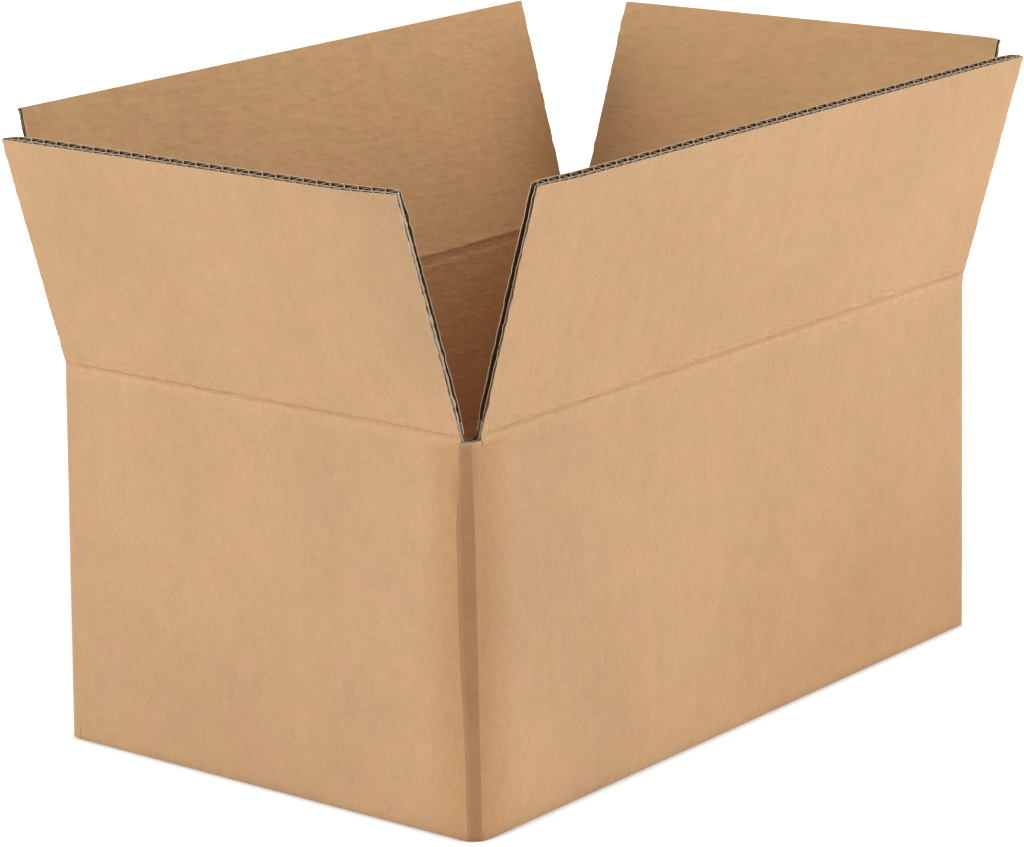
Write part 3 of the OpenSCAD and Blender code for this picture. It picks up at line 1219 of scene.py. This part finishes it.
# %% Build the glued tab
TAB_WIDTH = 0.035
TAB_THICK = 0.004
TAB_GAP = 0.003
TAB_LOW = SHORT_BASE_Z + BOARD + TAB_GAP
TAB_HIGH = SHORT_FOLD_Z - BOARD - TAB_GAP
TAB_END = HALF_L - BOARD - TAB_WIDTH
TAB_FACE = TUCK - TAB_THICK
TAB_SLOPE = 0.010
# The tab's two ends are cut on a slant, square to this direction across and upward
TAB_SLANT = (-0.275, 0.96)
TAB_BEVEL = 0.0012
tab = add_block("glue_tab", (TAB_END, TAB_FACE, TAB_LOW), (HALF_L - BOARD, TUCK, TAB_HIGH))
open_mesh(tab, "EDGE")
for height, up in ((TAB_LOW + TAB_SLOPE, -1), (TAB_HIGH - TAB_SLOPE, 1)):
    slant = (TAB_SLANT[0], 0, up * TAB_SLANT[1])
    cut_across((TAB_END, TUCK, height), slant, clear_outer=True, use_fill=True)
pick_edges(tab, lambda a, b: max(a.y, b.y) < TAB_FACE + CLOSE)
bpy.ops.mesh.bevel(offset=TAB_BEVEL, segments=3, affect="EDGES")
close_mesh()
add_materials(tab, (inner_kraft, cut_paper))
for face in tab.data.polygons:
    face.material_index = 0 if face.normal.y < -0.7 else 1
write_sheet_places(tab, [(v.co.x, v.co.y, v.co.z - FOLD_Z) for v in tab.data.vertices])
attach(tab, "carton")
print("glued tab", len(tab.data.polygons), "faces")

# %% [markdown]
# ## Floor, light and camera
#
# The photograph has a white ground with only a thin shadow along the box. The floor is a pale paper that
# also glows for the camera alone, more so away from the box, so that it reads as white. A contact shadow
# from an occlusion node is painted into both its glow and its colour. Two large soft lamps stand wide to
# the left and right, which leaves the near corner between them a little darker.

# %% Floor and world
FLOOR_SIZE = 14
FLOOR_COLOUR = 0.80
AMBIENT = 0.12
# How far the painted contact shadow reaches from the box
CONTACT = 0.010
# Two distances from the middle, and the glow at each
FLOOR_GLOW = (0.26, 0.60, 0.60, 1.0)
# Two shares of open space round a point, and the brightness at each
CONTACT_SHADE = (0.54, 0.74, 0.50, 1.0)
bpy.ops.mesh.primitive_plane_add(size=FLOOR_SIZE)
floor = bpy.context.view_layer.objects.active
floor.name = "floor"
floor_paint = bpy.data.materials.new("floor_paint")
floor_paint.use_nodes = True
floor_tree = floor_paint.node_tree
floor_tree.nodes.clear()
floor_out = add_node(floor_tree, "ShaderNodeOutputMaterial")
floor_matt = add_node(floor_tree, "ShaderNodeBsdfDiffuse")
floor_glow = add_node(floor_tree, "ShaderNodeEmission")
floor_rays = add_node(floor_tree, "ShaderNodeLightPath")
floor_sum = add_node(floor_tree, "ShaderNodeAddShader")
floor_place = add_node(floor_tree, "ShaderNodeTexCoord")
floor_distance = add_node(floor_tree, "ShaderNodeVectorMath", operation="LENGTH")
contact_occlusion = add_node(floor_tree, "ShaderNodeAmbientOcclusion", samples=8)
contact_occlusion.inputs["Distance"].default_value = CONTACT
floor_link = floor_tree.links.new
floor_link(floor_place.outputs["Object"], floor_distance.inputs[0])
glow = remap(floor_tree, floor_distance.outputs["Value"], *FLOOR_GLOW, smooth=True)
painted_contact_shadow = remap(floor_tree, contact_occlusion.outputs["AO"], *CONTACT_SHADE)
# Painted contact shadow: the occlusion darkens both the glow and the floor's colour
glow = times(floor_tree, glow, painted_contact_shadow)
camera_glow = times(floor_tree, glow, floor_rays.outputs["Is Camera Ray"])
floor_link(times(floor_tree, painted_contact_shadow, FLOOR_COLOUR), floor_matt.inputs["Color"])
floor_link(camera_glow, floor_glow.inputs["Strength"])
floor_link(floor_matt.outputs[0], floor_sum.inputs[0])
floor_link(floor_glow.outputs[0], floor_sum.inputs[1])
floor_link(floor_sum.outputs[0], floor_out.inputs["Surface"])
floor.data.materials.append(floor_paint)

scene = bpy.context.scene
world = bpy.data.worlds.new("studio")
scene.world = world
world.use_nodes = True
sky = world.node_tree.nodes["Background"]
sky.inputs["Color"].default_value = (1, 1, 1, 1)
sky_rays = add_node(world.node_tree, "ShaderNodeLightPath")
sky_strength = combine(world.node_tree, "MAXIMUM", sky_rays.outputs["Is Camera Ray"], AMBIENT)
world.node_tree.links.new(sky_strength, sky.inputs["Strength"])
scene.view_settings.view_transform = "Standard"


# %% Lamps
def add_lamp(name, place, target, size, power):
    """A square soft lamp that faces its target."""
    bpy.ops.object.light_add(type="AREA", location=place)
    lamp = bpy.context.view_layer.objects.active
    lamp.name = name
    lamp.data.shape = "SQUARE"
    lamp.data.size = size
    lamp.data.energy = power
    lamp.rotation_mode = "QUATERNION"
    lamp.rotation_quaternion = (Vector(target) - Vector(place)).to_track_quat("-Z", "Y")


add_lamp("left_lamp", (-2.2, 1.2, 1.35), target=(0, 0, 0.12), size=2.2, power=62)
add_lamp("right_lamp", (1.4, -2.1, 1.05), target=(0, 0, 0.12), size=2.0, power=60)
add_lamp("top_lamp", (-0.3, -0.3, 2.6), target=(0, 0, 0.1), size=1.6, power=8)

# %% [markdown]
# The camera was fitted to the box's edges and to single flutes in the photograph. It is a long lens from
# about two metres away.

# %% Camera
AZIMUTH, ELEVATION, ROLL = (math.radians(angle) for angle in (-50.48, 14.70, -1.39))
CAMERA_PLACE = (-1.5017, -1.2272, 0.6396)
SENSOR = 36
FOCAL_PIXELS = 4208.37
FRAME_WIDTH, FRAME_HEIGHT = 1024, 847
CENTRE_X, CENTRE_Y = 510.07, 416.73
back = Vector((
    math.sin(AZIMUTH) * math.cos(ELEVATION),
    -math.cos(AZIMUTH) * math.cos(ELEVATION),
    math.sin(ELEVATION),
))
level = Vector((math.cos(AZIMUTH), math.sin(AZIMUTH), 0))
upright = back.cross(level)
right = math.cos(ROLL) * level + math.sin(ROLL) * upright
above = math.cos(ROLL) * upright - math.sin(ROLL) * level
bpy.ops.object.camera_add(location=(0, 0, 0))
camera = bpy.context.view_layer.objects.active
camera.name = "camera"
turned = Matrix((right, above, back)).transposed().to_4x4()
camera.matrix_world = Matrix.Translation(CAMERA_PLACE) @ turned
camera.data.sensor_width = SENSOR
camera.data.lens = FOCAL_PIXELS * SENSOR / FRAME_WIDTH
camera.data.shift_x = (FRAME_WIDTH / 2 - CENTRE_X) / FRAME_WIDTH
camera.data.shift_y = (CENTRE_Y - FRAME_HEIGHT / 2) / FRAME_WIDTH
camera.data.clip_end = 60
scene.camera = camera
print(f"lens {camera.data.lens:.0f} mm")

# %% Finish
bpy.ops.object.select_all(action="DESELECT")
